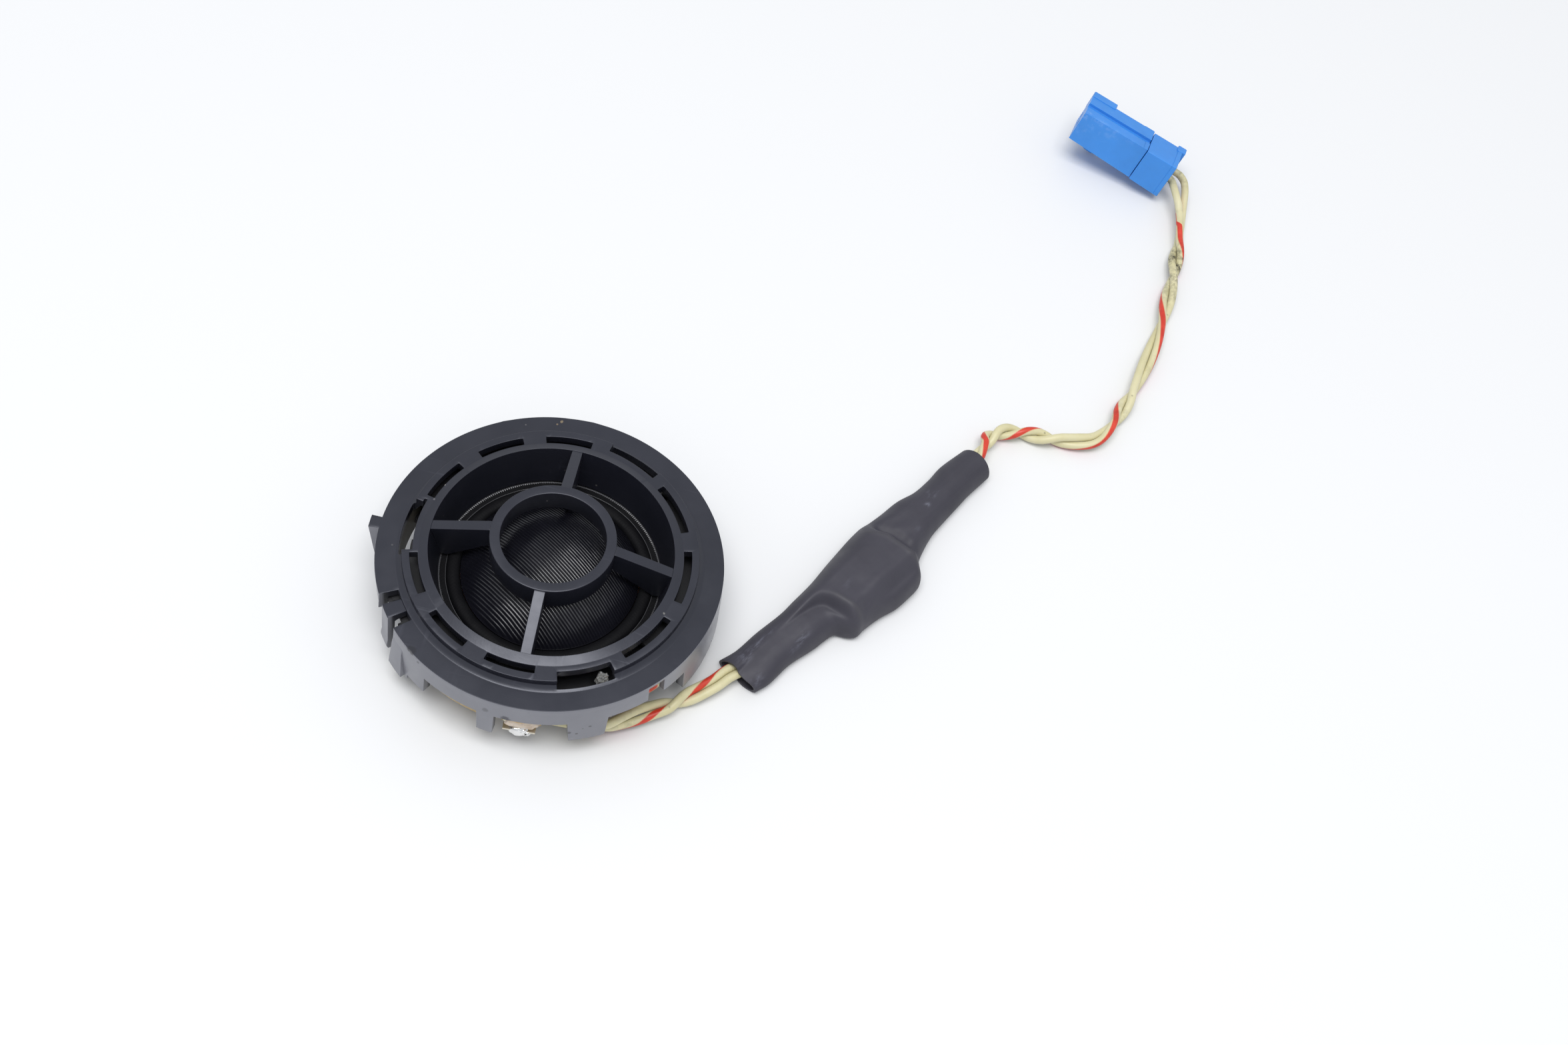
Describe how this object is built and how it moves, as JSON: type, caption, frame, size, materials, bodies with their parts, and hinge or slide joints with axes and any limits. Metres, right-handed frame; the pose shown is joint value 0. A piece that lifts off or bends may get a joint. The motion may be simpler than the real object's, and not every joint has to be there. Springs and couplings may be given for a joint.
{
  "type": "car tweeter",
  "caption": "Dome tweeter in a round flanged clip-in housing with a ring-and-blade phase grille, an in-line capacitor under a shrink sleeve and a blue plug on twisted leads.",
  "frame": {"origin": "centre of the yoke cup's flat back face, which the tweeter rests on", "axes": "+Z along the dome's axis towards the listener; the leads run off towards +X and then +Y, to the connector"},
  "size_m": [0.1148, 0.1548, 0.0177],
  "materials": {
    "satin_black_plastic": "satin moulded",
    "dome_textile": "coated weave",
    "surround_textile": "coated weave",
    "zinc_plated_steel": "zinc plated",
    "nickel_plated_magnet": "nickel plated",
    "enamelled_copper": "enamelled winding",
    "coil_former_film": "amber film",
    "grey_felt": "felt",
    "phenolic_board": "paper laminate",
    "tinned_brass": "tinned",
    "solder": "bright solder",
    "hot_melt_adhesive": "translucent glue",
    "ivory_wire_insulation": "soft PVC",
    "ivory_wire_insulation_red_stripe": "soft PVC with a red stripe",
    "heat_shrink_tube": "matt polyolefin, scuffed",
    "capacitor_case": "dipped epoxy",
    "brass_contact": "bright",
    "blue_connector_plastic": "moulded nylon",
    "fibre_ring": "pressed fibre"
  },
  "bodies": {
    "housing": {"front_housing": "satin_black_plastic", "driver_frame": "satin_black_plastic", "surround": "surround_textile", "surround_mount_ring": "fibre_ring", "damping_felt": "grey_felt", "pole_plate": "zinc_plated_steel", "magnet": "nickel_plated_magnet", "yoke_cup": "zinc_plated_steel", "terminal_board": "phenolic_board", "solder_terminal_a": "tinned_brass", "solder_terminal_b": "tinned_brass", "solder_joint_a": "solder", "solder_joint_b": "solder", "adhesive_pad": "hot_melt_adhesive", "adhesive_bead": "hot_melt_adhesive", "adhesive_dab": "hot_melt_adhesive", "lead_plain_lower": "ivory_wire_insulation", "lead_plain_upper": "ivory_wire_insulation", "lead_striped": "ivory_wire_insulation_red_stripe", "heat_shrink_sleeve": "heat_shrink_tube", "capacitor": "capacitor_case", "crimp_splice_in": "tinned_brass", "crimp_splice_out": "tinned_brass", "connector_housing": "blue_connector_plastic", "contact_1": "brass_contact", "contact_2": "brass_contact"},
    "diaphragm": {"diaphragm_dome": "dome_textile", "voice_coil_former": "coil_former_film", "voice_coil_winding": "enamelled_copper"},
    "latch_finger": {"snap_latch": "satin_black_plastic"},
    "connector_lock": {"connector_lock_arm": "blue_connector_plastic"},
    "rear_holder": {"connector_rear_holder": "blue_connector_plastic"}
  },
  "joints": [
    {"name": "diaphragm_travel", "type": "slide", "parent": "housing", "child": "diaphragm", "axis": [0, 0, 1], "range_m": [-0.0004, 0.0004], "stiffness_N_per_m": 2000, "deforming": ["surround"]},
    {"name": "snap_latch_flex", "type": "hinge", "parent": "housing", "child": "latch_finger", "pos_m": [-0.01755, -0.01408, 0.0119], "axis": [0.6259, -0.7799, 0], "range_deg": [0, 5], "stiffness_Nm_per_rad": 0.1},
    {"name": "lock_arm_flex", "type": "hinge", "parent": "housing", "child": "connector_lock", "pos_m": [0.07553, 0.12241, 0.00134], "axis": [0.1572, 0.9633, -0.2176], "range_deg": [0, 4], "stiffness_Nm_per_rad": 0.05},
    {"name": "rear_holder_slide", "type": "slide", "parent": "housing", "child": "rear_holder", "axis": [0.9624, -0.1988, -0.185], "range_m": [0, 0.0012]}
  ]
}
